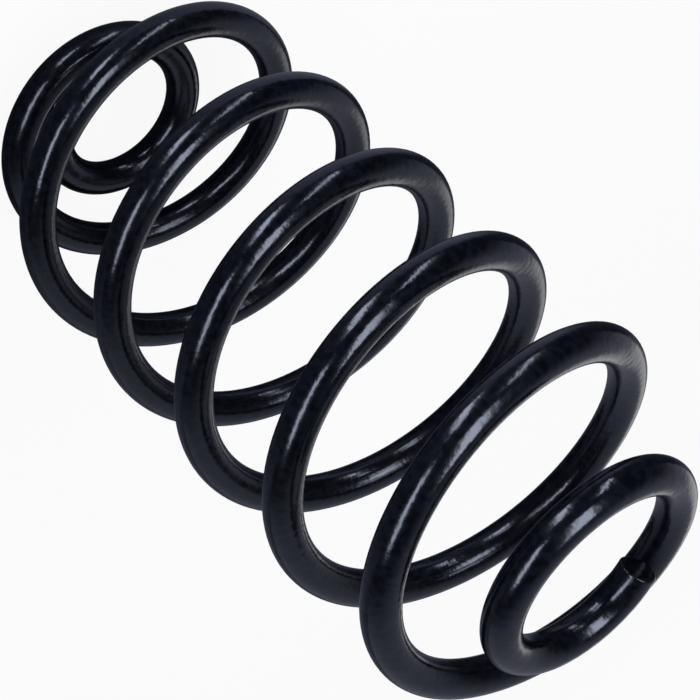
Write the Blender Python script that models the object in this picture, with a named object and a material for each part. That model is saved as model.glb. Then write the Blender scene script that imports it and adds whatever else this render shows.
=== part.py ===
# A car's rear suspension spring, wound right-handed from one length of round steel wire.
# The long middle has an even diameter and pitch. Both ends are drawn in to small turns
# that lie flat, so that the spring seats on them, and the wire is cut off square.
# Lengths are in metres and coil positions in turns. +Z runs up the coil's axis, and the
# lower end turn lies on Z = 0 with the coil's axis on the origin.

import math

import bmesh
import bpy
from mathutils import Matrix, Vector

# Driving dimensions, with every diameter of a turn measured at the wire's centre
WIRE_DIAMETER = 0.012
BODY_DIAMETER = 0.111
BODY_PITCH = 0.0466
TURNS = 7.5
CUT_CHAMFER = 0.0008

# Lower end, the one that the spring stands on
LOWER_EYE_DIAMETER = 0.048
LOWER_TURN_GAP = 0.0019
LOWER_FLAT_TURNS = 0.82
LOWER_LIFT_TURNS = 0.65

# Upper end
UPPER_EYE_DIAMETER = 0.0544
UPPER_TURN_GAP = 0.0028
UPPER_FLAT_TURNS = 0.55
UPPER_LIFT_TURNS = 0.82

# Length over which the drawn-in ends run out into the body
SHOULDER_BLEND = 0.0045

# Facets of the solid, and the angle past which an edge between them is shown sharp
SECTION_SIDES = 16
STEPS_PER_TURN = 36
SHARP_EDGE_DEGREES = 35

# Gloss black enamel, very slightly blue
ENAMEL_COLOUR = (0.011, 0.012, 0.017, 1.0)
ENAMEL_ROUGHNESS = 0.28


def smoothMinimum(first, second, blend):
    # The lesser of two lengths, rounded off where they come within the blend of each other
    share = min(max(0.5 + 0.5 * (second - first) / blend, 0.0), 1.0)
    return second * (1.0 - share) + first * share - blend * share * (1.0 - share)


def endRadius(turnsFromCut, eyeDiameter, turnGap):
    # The radius grows with the square of the turns, so after one turn from the cut the
    # wire passes outside its own end, with the turn gap between them
    growth = WIRE_DIAMETER + turnGap
    spiral = eyeDiameter / 2 + growth * turnsFromCut**2
    return smoothMinimum(spiral, BODY_DIAMETER / 2, SHOULDER_BLEND)


def endHeight(turnsFromCut, flatTurns, liftTurns):
    # Flat at first, then the pitch grows evenly from nothing to the body's pitch
    climbing = max(turnsFromCut - flatTurns, 0.0)
    if climbing < liftTurns:
        return BODY_PITCH * climbing**2 / (2 * liftTurns)
    return BODY_PITCH * (climbing - liftTurns / 2)


def lowerHeight(turn):
    return endHeight(turn, LOWER_FLAT_TURNS, LOWER_LIFT_TURNS)


def upperHeight(turn):
    return endHeight(TURNS - turn, UPPER_FLAT_TURNS, UPPER_LIFT_TURNS)


def wireCentre(turn):
    lowerRadius = endRadius(turn, LOWER_EYE_DIAMETER, LOWER_TURN_GAP)
    upperRadius = endRadius(TURNS - turn, UPPER_EYE_DIAMETER, UPPER_TURN_GAP)
    radius = min(lowerRadius, upperRadius)
    middle = TURNS / 2
    height = WIRE_DIAMETER / 2 + lowerHeight(min(turn, middle))
    if turn > middle:
        height += upperHeight(middle) - upperHeight(turn)
    angle = math.tau * turn
    return Vector((radius * math.cos(angle), radius * math.sin(angle), height))


def wireCentres():
    steps = round(TURNS * STEPS_PER_TURN)
    return [wireCentre(TURNS * step / steps) for step in range(steps + 1)]


def addSection(mesh, centre, along):
    # A polygon square to the wire, whose flats touch the round wire from outside. It is
    # kept upright, so that one flat faces straight down onto the seat in an end turn.
    outward = along.cross(Vector((0.0, 0.0, 1.0))).normalized()
    upward = outward.cross(along)
    upright = Matrix((outward, upward, -along)).transposed().to_4x4()
    halfSide = math.pi / SECTION_SIDES
    circle = bmesh.ops.create_circle(
        mesh,
        segments=SECTION_SIDES,
        radius=WIRE_DIAMETER / 2 / math.cos(halfSide),
        matrix=Matrix.Translation(centre) @ upright @ Matrix.Rotation(halfSide, 4, "Z"),
    )
    return {edge for corner in circle["verts"] for edge in corner.link_edges}


def loftWire(mesh):
    centres = wireCentres()
    last = len(centres) - 1
    sections = []
    for step, centre in enumerate(centres):
        along = (centres[min(step + 1, last)] - centres[max(step - 1, 0)]).normalized()
        sections.append(addSection(mesh, centre, along))
    for lower, upper in zip(sections, sections[1:]):
        bmesh.ops.bridge_loops(mesh, edges=list(lower | upper))
    return sections[0], sections[-1]


def cutOff(mesh, section):
    # The wire's end face, square to the wire, with its burr taken off
    bmesh.ops.edgeloop_fill(mesh, edges=list(section))
    bmesh.ops.bevel(
        mesh, geom=list(section), offset=CUT_CHAMFER, segments=1, affect="EDGES"
    )


def enamel():
    material = bpy.data.materials.new("black_enamel")
    material.use_nodes = True
    shader = material.node_tree.nodes["Principled BSDF"]
    shader.inputs["Base Color"].default_value = ENAMEL_COLOUR
    shader.inputs["Metallic"].default_value = 0.0
    shader.inputs["Roughness"].default_value = ENAMEL_ROUGHNESS
    return material


def clearScene():
    for item in list(bpy.data.objects):
        bpy.data.objects.remove(item, do_unlink=True)


def buildSpring():
    mesh = bmesh.new()
    for section in loftWire(mesh):
        cutOff(mesh, section)
    bmesh.ops.recalc_face_normals(mesh, faces=mesh.faces)
    data = bpy.data.meshes.new("coil_spring")
    mesh.to_mesh(data)
    mesh.free()
    data.shade_smooth()
    data.set_sharp_from_angle(angle=math.radians(SHARP_EDGE_DEGREES))
    data.materials.append(enamel())
    spring = bpy.data.objects.new("coil_spring", data)
    bpy.context.scene.collection.objects.link(spring)


clearScene()
buildSpring()
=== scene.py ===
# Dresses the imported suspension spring: one long round wire in gloss black enamel, standing
# on its lower end turn. Lengths are in metres, and places along the wire in turns.
import math

import bpy
import numpy as np
from mathutils import Matrix, Vector


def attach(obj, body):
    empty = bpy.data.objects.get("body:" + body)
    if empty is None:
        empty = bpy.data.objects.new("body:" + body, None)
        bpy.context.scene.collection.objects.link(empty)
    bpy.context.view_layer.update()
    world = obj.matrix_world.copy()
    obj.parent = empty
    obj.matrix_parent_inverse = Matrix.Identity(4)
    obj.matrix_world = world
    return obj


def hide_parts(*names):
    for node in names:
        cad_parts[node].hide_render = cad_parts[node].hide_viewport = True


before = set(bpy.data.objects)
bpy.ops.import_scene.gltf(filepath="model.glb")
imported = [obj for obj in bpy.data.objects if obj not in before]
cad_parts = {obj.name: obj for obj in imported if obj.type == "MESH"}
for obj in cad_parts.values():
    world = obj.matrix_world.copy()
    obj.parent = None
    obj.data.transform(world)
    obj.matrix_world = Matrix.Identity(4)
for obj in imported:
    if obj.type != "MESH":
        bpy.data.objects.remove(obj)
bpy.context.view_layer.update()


def linearColour(hexText):
    # sRGB hex to the linear values that the shader sockets take
    channels = [int(hexText[i:i + 2], 16) / 255 for i in (1, 3, 5)]
    return [c / 12.92 if c <= 0.04045 else ((c + 0.055) / 1.055) ** 2.4 for c in channels] + [1.0]


def addNode(tree, kind, settings=None, values=None, links=None):
    # settings are the node's own properties, values its socket constants by name or
    # number, and links its input sockets with the output socket that feeds each.
    # A Mix node goes by number: 0 is the share, 2 and 3 its two values, 6 and 7 its colours.
    node = tree.nodes.new(kind)
    for name, value in (settings or {}).items():
        setattr(node, name, value)
    for name, value in (values or {}).items():
        node.inputs[name].default_value = value
    for name, source in (links or {}).items():
        tree.links.new(source, node.inputs[name])
    return node


def newMaterial(name):
    material = bpy.data.materials.new(name)
    material.use_nodes = True
    material.node_tree.nodes.clear()
    return material, material.node_tree


def placeMesh(name, points, faces):
    mesh = bpy.data.meshes.new(name)
    mesh.from_pydata(points.tolist(), [], faces)
    mesh.validate()
    mesh.shade_smooth()
    piece = bpy.data.objects.new(name, mesh)
    bpy.context.scene.collection.objects.link(piece)
    return piece


def towards(azimuth, elevation):
    # the direction at so many degrees round from +X and so many up from level
    azimuth, elevation = math.radians(azimuth), math.radians(elevation)
    return Vector((
        math.cos(azimuth) * math.cos(elevation),
        math.sin(azimuth) * math.cos(elevation),
        math.sin(elevation),
    ))


def backedBy(back):
    # sideways, upward and backward for a lamp or camera whose back points that way
    side = Vector((0.0, 0.0, 1.0)).cross(back).normalized()
    return side, back.cross(side), back


# The wire is wound by the same formulas as in the CAD source, with more facets
spring = {
    "wireDiameter": 0.012,
    "bodyDiameter": 0.111,     # every diameter of a turn is at the wire's centre
    "bodyPitch": 0.0466,
    "turns": 7.5,
    "lowerEye": 0.048,         # diameter of an end turn at its cut
    "lowerGap": 0.0019,        # left where the wire passes its own end
    "lowerFlat": 0.82,         # turns that lie flat
    "lowerLift": 0.65,         # turns over which the pitch then grows
    "upperEye": 0.0544,
    "upperGap": 0.0028,
    "upperFlat": 0.55,
    "upperLift": 0.82,
    "shoulderBlend": 0.0045,   # rounds the drawn-in ends into the body
    "cutRounding": 0.0008,     # the cut edge, softened by its tumbling and its enamel
    "ringsPerTurn": 120,
    "sides": 48,
    "roundingRings": 6,
    "faceRings": 5,
    "edgeMargin": 1.2,         # how many times the rounding's depth the even rings keep clear
    "tangentStep": 0.00001,    # turns to either side between which the tangent is taken
}


def smoothMinimum(first, second, blend):
    # the lesser of two lengths, rounded off where they come within the blend of each other
    share = np.clip(0.5 + 0.5 * (second - first) / blend, 0.0, 1.0)
    return second * (1.0 - share) + first * share - blend * share * (1.0 - share)


def endRadius(fromCut, eye, gap):
    # the eye's radius plus the wire and its gap times the square of the turns from the cut
    spiral = eye / 2 + (spring["wireDiameter"] + gap) * fromCut**2
    return smoothMinimum(spiral, spring["bodyDiameter"] / 2, spring["shoulderBlend"])


def endHeight(fromCut, flat, lift):
    # nothing over the flat turns, then a parabola up to the body's pitch, then a straight climb
    climbing = np.maximum(fromCut - flat, 0.0)
    parabola = spring["bodyPitch"] * climbing**2 / (2 * lift)
    straight = spring["bodyPitch"] * (climbing - lift / 2)
    return np.where(climbing < lift, parabola, straight)


def wireCentre(turn):
    # radius: the lesser of both ends' radii. Height: the lower end's climb as far as the
    # middle, then what the upper end's mirror image has climbed. Angle: one circle a turn.
    turns = spring["turns"]
    middle = turns / 2
    radius = np.minimum(
        endRadius(turn, spring["lowerEye"], spring["lowerGap"]),
        endRadius(turns - turn, spring["upperEye"], spring["upperGap"]),
    )
    lower = endHeight(np.minimum(turn, middle), spring["lowerFlat"], spring["lowerLift"])
    upperAll = endHeight(turns - middle, spring["upperFlat"], spring["upperLift"])
    toTheCut = turns - np.maximum(turn, middle)
    upperLeft = endHeight(toTheCut, spring["upperFlat"], spring["upperLift"])
    height = spring["wireDiameter"] / 2 + lower + upperAll - upperLeft
    angle = math.tau * turn
    return np.stack([radius * np.cos(angle), radius * np.sin(angle), height], axis=-1)


def sectionAxes(turn):
    # the tangent is the difference of two near points, outward is level and square to it,
    # and upward is square to both, so the section stays upright all the way
    step = spring["tangentStep"]
    along = wireCentre(turn + step) - wireCentre(turn - step)
    along /= np.linalg.norm(along, axis=-1, keepdims=True)
    outward = np.cross(along, [0.0, 0.0, 1.0])
    outward /= np.linalg.norm(outward, axis=-1, keepdims=True)
    return outward, np.cross(outward, along)


def wireStations():
    # (turn, section radius) of each ring: a cut face from its middle outwards, a quarter
    # circle over the cut's edge, the even wire, and the same again at the other end
    turns = spring["turns"]
    full = spring["wireDiameter"] / 2
    rounding = spring["cutRounding"]
    quarter = np.linspace(0.0, math.pi / 2, spring["roundingRings"] + 1)[:-1]
    depth = rounding * (1.0 - np.cos(quarter))
    edge = full - rounding + rounding * np.sin(quarter)
    face = np.linspace(0.0, full - rounding, spring["faceRings"] + 1)[1:-1]
    lowerEdge = depth / (math.pi * spring["lowerEye"])     # each depth as turns of its own eye
    upperEdge = depth / (math.pi * spring["upperEye"])
    even = np.linspace(0.0, turns, round(turns * spring["ringsPerTurn"]) + 1)
    pastLower = even > lowerEdge[-1] * spring["edgeMargin"]
    beforeUpper = even < turns - upperEdge[-1] * spring["edgeMargin"]
    even = even[pastLower & beforeUpper]
    turn = np.concatenate([
        np.zeros(len(face)), lowerEdge, even, turns - upperEdge[::-1], np.full(len(face), turns),
    ])
    radius = np.concatenate([face, edge, np.full(len(even), full), edge[::-1], face[::-1]])
    return turn, radius


def sweptWire():
    # a point is the wire's centre plus the section radius times
    # (cos of the section angle times outward + sin of it times upward)
    turn, radius = wireStations()
    sides = spring["sides"]
    section = np.arange(sides) * math.tau / sides
    outward, upward = sectionAxes(turn)
    spoke = (
        np.cos(section)[None, :, None] * outward[:, None, :]
        + np.sin(section)[None, :, None] * upward[:, None, :]
    )
    rings = wireCentre(turn)[:, None, :] + radius[:, None, None] * spoke
    cutMiddles = wireCentre(np.array([0.0, spring["turns"]]))
    points = np.concatenate([rings.reshape(-1, 3), cutMiddles])

    here = np.arange(sides)
    after = (here + 1) % sides
    ring = np.arange(len(turn) - 1)[:, None] * sides
    above = ring + sides
    quads = np.stack([ring + here, above + here, above + after, ring + after], axis=-1)
    lowerMiddle = len(turn) * sides
    lastRing = lowerMiddle - sides
    lowerFace = np.stack([here, after, np.full(sides, lowerMiddle)], axis=-1)
    upperFace = np.stack([lastRing + after, lastRing + here, np.full(sides, lowerMiddle + 1)], axis=-1)
    return points, quads.reshape(-1, 4).tolist() + lowerFace.tolist() + upperFace.tolist()


coil = placeMesh("enamelled_coil", *sweptWire())
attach(coil, "root")
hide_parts("coil_spring")
print("coil wound,", len(coil.data.polygons), "faces")


enamel = {
    "deep": "#020308",          # where the film is full
    "thin": "#0a0c13",          # a breath lighter over the peened steel's high spots
    "thinFrom": 0.38,           # the peel noise where that lighter shade starts and is full
    "thinBy": 0.62,
    "sheen": "#eaf2ff",         # the cold cast of its gloss
    "ior": 1.6,
    "roughLow": 0.16,
    "roughHigh": 0.22,
    "roughFrom": 0.3,           # the cloud noise where the gloss is at its best and its worst
    "roughBy": 0.7,
    # Orange peel is about 2 mm across and only some micrometres deep, and the dimples of
    # peening are about 0.3 mm across. Neither would show in the render, so both are drawn
    # as deep, and the grain as coarse, as they need to be.
    "patterns": {
        "cloud": {"millimetres": 9.0, "detail": 3.0, "roughness": 0.55},   # drift of the gloss
        "peel": {"millimetres": 2.2, "detail": 1.5, "roughness": 0.4},     # ripple of the film
        "grain": {"millimetres": 0.9, "detail": 2.0, "roughness": 0.5},    # peening beneath it
    },
    "peelDepth": 0.00008,
    "grainDepth": 0.00002,
}


def bakedBlackEnamel():
    # Sprayed and baked black enamel on shot-peened spring steel: nearly black with a cold
    # tint, and a glossy skin whose faint orange peel softens the edges of each reflection
    material, tree = newMaterial("baked_black_enamel")
    place = addNode(tree, "ShaderNodeTexCoord").outputs["Object"]
    noise = {}
    for name, pattern in enamel["patterns"].items():
        scale = 1000.0 / pattern["millimetres"]
        noise[name] = addNode(
            tree, "ShaderNodeTexNoise", None,
            {"Scale": scale, "Detail": pattern["detail"], "Roughness": pattern["roughness"]},
            {"Vector": place},
        ).outputs[0]
    thinness = addNode(
        tree, "ShaderNodeMapRange", {"interpolation_type": "SMOOTHSTEP"},
        {"From Min": enamel["thinFrom"], "From Max": enamel["thinBy"]}, {"Value": noise["peel"]},
    )
    tint = addNode(
        tree, "ShaderNodeMix", {"data_type": "RGBA"},
        {6: linearColour(enamel["deep"]), 7: linearColour(enamel["thin"])},
        {0: thinness.outputs[0]},
    )
    rough = addNode(
        tree, "ShaderNodeMapRange", None,
        {
            "From Min": enamel["roughFrom"], "From Max": enamel["roughBy"],
            "To Min": enamel["roughLow"], "To Max": enamel["roughHigh"],
        },
        {"Value": noise["cloud"]},
    )
    grainBump = addNode(
        tree, "ShaderNodeBump", None, {"Strength": 1.0, "Distance": enamel["grainDepth"]},
        {"Height": noise["grain"]},
    )
    peelBump = addNode(
        tree, "ShaderNodeBump", None, {"Strength": 1.0, "Distance": enamel["peelDepth"]},
        {"Height": noise["peel"], "Normal": grainBump.outputs[0]},
    )
    shader = addNode(
        tree, "ShaderNodeBsdfPrincipled", None,
        {"Metallic": 0.0, "IOR": enamel["ior"], "Specular Tint": linearColour(enamel["sheen"])},
        {"Base Color": tint.outputs[2], "Roughness": rough.outputs[0], "Normal": peelBump.outputs[0]},
    )
    addNode(tree, "ShaderNodeOutputMaterial", links={"Surface": shader.outputs[0]})
    return material


coil.data.materials.append(bakedBlackEnamel())
print("enamel laid on")


studio = {
    "floorHalf": 4.0,
    "paper": "#f4f4f4",
    "white": "#ffffff",
    "whiteShare": 0.92,           # how far the floor is lifted to plain white where it is seen
    "whiteFrom": 0.45,            # metres from the coil's axis where it starts to turn all
    "whiteBy": 1.6,               # white, and where it is, so that no horizon shows
    "plain": 0.45,                # the soft light that falls on the object from all round
    "haze": "#e6e9ff",            # its faint cold cast
}


def backgroundRays(tree):
    # 1 for each ray that shows the white background: the camera's, a mirrored one, and one
    # through glass; 0 for the light that falls on a surface
    path = addNode(tree, "ShaderNodeLightPath")
    seen = path.outputs["Is Camera Ray"]
    for ray in ("Is Glossy Ray", "Is Transmission Ray"):
        seen = addNode(
            tree, "ShaderNodeMath", {"operation": "MAXIMUM"}, None, {0: seen, 1: path.outputs[ray]},
        ).outputs[0]
    return seen


def paleFloor():
    # a level square of matt paper under the coil, out to the backdrop on every side. It has
    # no gleam of its own, so it shows the coil's soft shadow and nothing else.
    corners = studio["floorHalf"] * np.array([[-1, -1, 0], [1, -1, 0], [1, 1, 0], [-1, 1, 0]])
    floor = placeMesh("studio_floor", corners, [[0, 1, 2, 3]])
    material, tree = newMaterial("matt_white_paper")
    place = addNode(tree, "ShaderNodeTexCoord").outputs["Object"]
    reach = addNode(tree, "ShaderNodeVectorMath", {"operation": "LENGTH"}, None, {0: place})
    lifted = addNode(
        tree, "ShaderNodeMapRange", {"interpolation_type": "SMOOTHSTEP"},
        {
            "From Min": studio["whiteFrom"], "From Max": studio["whiteBy"],
            "To Min": studio["whiteShare"], "To Max": 1.0,
        },
        {"Value": reach.outputs["Value"]},
    )
    share = addNode(
        tree, "ShaderNodeMath", {"operation": "MULTIPLY"}, None,
        {0: backgroundRays(tree), 1: lifted.outputs[0]},
    )
    paper = addNode(tree, "ShaderNodeBsdfDiffuse", None, {"Color": linearColour(studio["paper"])})
    white = addNode(
        tree, "ShaderNodeEmission", None, {"Color": linearColour(studio["white"]), "Strength": 1.0},
    )
    mixed = addNode(
        tree, "ShaderNodeMixShader", None, None,
        {0: share.outputs[0], 1: paper.outputs[0], 2: white.outputs[0]},
    )
    addNode(tree, "ShaderNodeOutputMaterial", links={"Surface": mixed.outputs[0]})
    floor.data.materials.append(material)


def whiteSurround():
    # plain white wherever it is seen, and an even soft light where it falls on a surface
    world = bpy.data.worlds.new("studio")
    world.use_nodes = True
    tree = world.node_tree
    tree.nodes.clear()
    seen = backgroundRays(tree)
    shade = addNode(
        tree, "ShaderNodeMix", {"data_type": "RGBA"},
        {6: linearColour(studio["haze"]), 7: linearColour(studio["white"])}, {0: seen},
    )
    strength = addNode(
        tree, "ShaderNodeMix", {"data_type": "FLOAT"}, {2: studio["plain"], 3: 1.0}, {0: seen},
    )
    backdrop = addNode(
        tree, "ShaderNodeBackground", None, None,
        {"Color": shade.outputs[2], "Strength": strength.outputs[0]},
    )
    addNode(tree, "ShaderNodeOutputWorld", links={"Surface": backdrop.outputs[0]})
    bpy.context.scene.world = world


paleFloor()
whiteSurround()
print("floor and surround set")


# Painted reflections for the gloss black, in place of a dim tent: a grey mat round the coil and a
# grey hood over it, which glows though it is no lamp. The enamel mirrors these, and the white
# background through the hood's open back. The camera and glass look past them, and they neither light
# the object nor shade it.
tent = {
    "radius": 1.6,
    "openAt": (162.0, 3.0),       # azimuth and elevation of the middle of the open back
    "openDegrees": 19.0,          # from there to the opening's rim
    "rows": 48,                   # of the hood, from that rim to its far side
    "sides": 64,                  # of the mat, and of each row
    # the colour of the hood's painted glow
    "paintedGlowCloth": "#e6e9ff",
    "dim": 0.036,                 # painted brightness of the hood's inside, where 1 is white
    "paintedGlow": 0.35,                 # painted glow added round its opening, as if light soaked through
    "paintedGlowAt": (133.0, 2.0),       # azimuth and elevation of the painted glow's middle
    "paintedGlowEdge": (0.0, 0.62),      # cosines off that direction where it starts and is full
    "matRise": 0.0003,            # keeps the mat clear of the floor
    "matDark": "#43454c",
    "matPaintedLight": "#a4a7b2",         # painted light, in a pool beside the coil, and in part on the far side
    "paintedPool": (-0.063, -0.20, 0.0), # the painted pool's middle
    "paintedPoolEdge": (0.234, 0.071),   # metres from the painted pool's middle where it starts and is full
    "behind": (-0.26, 0.966, 0.0),    # the direction of the far side
    "behindEdge": (0.0, 0.33),    # metres that way from the coil, where it starts and is full
    # share of painted light on the far side
    "paintedLightBehindShare": 0.6,
}


def onlyMirrored(piece):
    # seen in the enamel and in nothing else
    piece.visible_camera = False
    piece.visible_diffuse = False
    piece.visible_transmission = False
    piece.visible_volume_scatter = False
    piece.visible_shadow = False


def paintedReflectionHood():
    # a sphere without its cap: the radius times (cos of the angle off the opening's middle
    # times that direction + sin of it times a direction that goes once round it). Its cloth glows
    # though
    # it is no lamp: a painted reflection with a painted glow, which the enamel shows as a smooth grey
    # without an edge.
    axis = np.array(towards(*tent["openAt"]))
    side = np.cross([0.0, 0.0, 1.0], axis)
    side /= np.linalg.norm(side)
    off = np.linspace(math.radians(tent["openDegrees"]), math.pi, tent["rows"])[:, None, None]
    turn = (np.arange(tent["sides"]) * math.tau / tent["sides"])[None, :, None]
    around = np.cos(turn) * side + np.sin(turn) * np.cross(axis, side)
    points = tent["radius"] * (np.cos(off) * axis + np.sin(off) * around)
    here = np.arange(tent["sides"])
    after = (here + 1) % tent["sides"]
    row = np.arange(tent["rows"] - 1)[:, None] * tent["sides"]
    below = row + tent["sides"]
    quads = np.stack([row + here, row + after, below + after, below + here], axis=-1)
    hood = placeMesh("painted_reflection_hood", points.reshape(-1, 3), quads.reshape(-1, 4).tolist())
    material, tree = newMaterial("painted_reflection_glow")
    place = addNode(tree, "ShaderNodeTexCoord").outputs["Object"]
    direction = addNode(tree, "ShaderNodeVectorMath", {"operation": "NORMALIZE"}, None, {0: place})
    nearness = addNode(
        tree, "ShaderNodeVectorMath", {"operation": "DOT_PRODUCT"},
        {1: towards(*tent["paintedGlowAt"])}, {0: direction.outputs[0]},
    )
    level = addNode(
        tree, "ShaderNodeMapRange", {"interpolation_type": "SMOOTHSTEP"},
        {
            "From Min": tent["paintedGlowEdge"][0], "From Max": tent["paintedGlowEdge"][1],
            "To Min": tent["dim"], "To Max": tent["dim"] + tent["paintedGlow"],
        },
        {"Value": nearness.outputs["Value"]},
    )
    paintedGlowCloth = addNode(
        tree, "ShaderNodeEmission", None, {"Color": linearColour(tent["paintedGlowCloth"])},
        {"Strength": level.outputs[0]},
    )
    addNode(tree, "ShaderNodeOutputMaterial", links={"Surface": paintedGlowCloth.outputs[0]})
    hood.data.materials.append(material)
    onlyMirrored(hood)


def paintedReflectionMat():
    # a level disc out to the hood: the radius times cos and sin of the angle round it. It is a painted
    # reflection: felt with no gleam, so the undersides of the turns show a plain dark grey, with a
    # painted pool of light beside the coil and painted light on the far side.
    turn = np.arange(tent["sides"]) * math.tau / tent["sides"]
    rim = tent["radius"] * np.stack([np.cos(turn), np.sin(turn), np.zeros(len(turn))], axis=-1)
    rim[:, 2] = tent["matRise"]
    mat = placeMesh("painted_reflection_mat", rim, [list(range(tent["sides"]))])
    material, tree = newMaterial("painted_pool_felt")
    place = addNode(tree, "ShaderNodeTexCoord").outputs["Object"]
    fromPaintedPool = addNode(
        tree, "ShaderNodeVectorMath", {"operation": "DISTANCE"}, {1: tent["paintedPool"]}, {0: place},
    )
    inPaintedPool = addNode(
        tree, "ShaderNodeMapRange", {"interpolation_type": "SMOOTHSTEP"},
        {"From Min": tent["paintedPoolEdge"][0], "From Max": tent["paintedPoolEdge"][1]},
        {"Value": fromPaintedPool.outputs["Value"]},
    )
    toBehind = addNode(
        tree, "ShaderNodeVectorMath", {"operation": "DOT_PRODUCT"}, {1: tent["behind"]}, {0: place},
    )
    paintedLightBehind = addNode(
        tree, "ShaderNodeMapRange", {"interpolation_type": "SMOOTHSTEP"},
        {
            "From Min": tent["behindEdge"][0], "From Max": tent["behindEdge"][1],
            "To Max": tent["paintedLightBehindShare"],
        },
        {"Value": toBehind.outputs["Value"]},
    )
    paintedLight = addNode(
        tree, "ShaderNodeMath", {"operation": "MAXIMUM"}, None,
        {0: inPaintedPool.outputs[0], 1: paintedLightBehind.outputs[0]},
    )
    shade = addNode(
        tree, "ShaderNodeMix", {"data_type": "RGBA"},
        {6: linearColour(tent["matDark"]), 7: linearColour(tent["matPaintedLight"])}, {0: paintedLight.outputs[0]},
    )
    paintedPoolFelt = addNode(tree, "ShaderNodeBsdfDiffuse", links={"Color": shade.outputs[2]})
    addNode(tree, "ShaderNodeOutputMaterial", links={"Surface": paintedPoolFelt.outputs[0]})
    mat.data.materials.append(material)
    onlyMirrored(mat)


paintedReflectionHood()
paintedReflectionMat()
print("tent pitched")


softBoxes = {
    "aim": (0.0, 0.0, 0.13),       # every hung box faces this point
    "colour": "#f1f2ff",
    # Place, width and height, turn about its own axis in degrees, and radiance, where 1 is the
    # brightness of white paper. The long thin boxes give the enamel its narrow streaks.
    "hung": {
        "front_box": {
            "place": (0.597, -0.002, 0.415), "size": (0.46, 0.15), "turn": 18.0, "radiance": 6.9,
        },
        "side_box": {
            "place": (0.026, -0.523, 0.200), "size": (0.038, 0.344), "turn": -22.0, "radiance": 8.9,
        },
        "top_box": {
            "place": (0.091, -0.276, 0.729), "size": (0.177, 0.467), "turn": 19.0, "radiance": 7.5,
        },
    },
    # This one stands on the floor and leans back, with its light towards the coil
    "leaning": {
        "low_box": {
            "foot": (0.183, -0.229, 0.004), "head": (0.453, -0.408, 0.139),
            "width": 0.085, "radiance": 7.8,
        },
    },
}


def softBox(name, place, axes, size, radiance):
    # axes are the box's width, height and back, as the columns of its turn, and its power
    # is the radiance times pi times its area
    lamp = bpy.data.lights.new(name, "AREA")
    lamp.shape = "RECTANGLE"
    lamp.size, lamp.size_y = size
    lamp.color = linearColour(softBoxes["colour"])[:3]
    lamp.energy = radiance * math.pi * size[0] * size[1]
    item = bpy.data.objects.new(name, lamp)
    item.matrix_world = Matrix.Translation(place) @ Matrix(axes).transposed().to_4x4()
    bpy.context.scene.collection.objects.link(item)


def hangBox(name, place, size, turn, radiance):
    side, upward, back = backedBy((Vector(place) - Vector(softBoxes["aim"])).normalized())
    turned = Matrix.Rotation(math.radians(turn), 3, back)
    softBox(name, place, (turned @ side, turned @ upward, back), size, radiance)


def leanBox(name, foot, head, width, radiance):
    foot, head = Vector(foot), Vector(head)
    along = (head - foot).normalized()
    side = Vector((0.0, 0.0, 1.0)).cross(along).normalized()
    axes = (side, along, side.cross(along))
    softBox(name, (foot + head) / 2, axes, (width, (head - foot).length), radiance)


for boxName, boxFacts in softBoxes["hung"].items():
    hangBox(boxName, **boxFacts)
for boxName, boxFacts in softBoxes["leaning"].items():
    leanBox(boxName, **boxFacts)
print("soft boxes hung")


view = {
    "aim": (-0.006035, 0.003524, 0.142254),
    "distance": 0.603429,
    "azimuth": -30.26,        # degrees round from +X
    "elevation": 33.51,
    "roll": 134.55,           # the photograph shows the standing coil leaning over
    "lens": 97.19,
    "sensor": 36.0,
}


def setCamera():
    back = towards(view["azimuth"], view["elevation"])
    roll = Matrix.Rotation(math.radians(view["roll"]), 3, "Z")
    turned = Matrix(backedBy(back)).transposed() @ roll
    place = Vector(view["aim"]) + back * view["distance"]
    camera = bpy.data.objects.new("camera", bpy.data.cameras.new("camera"))
    camera.data.lens = view["lens"]
    camera.data.sensor_width = view["sensor"]
    camera.matrix_world = Matrix.Translation(place) @ turned.to_4x4()
    bpy.context.scene.collection.objects.link(camera)
    bpy.context.scene.camera = camera


setCamera()
bpy.context.scene.view_settings.view_transform = "Standard"
print("camera set")
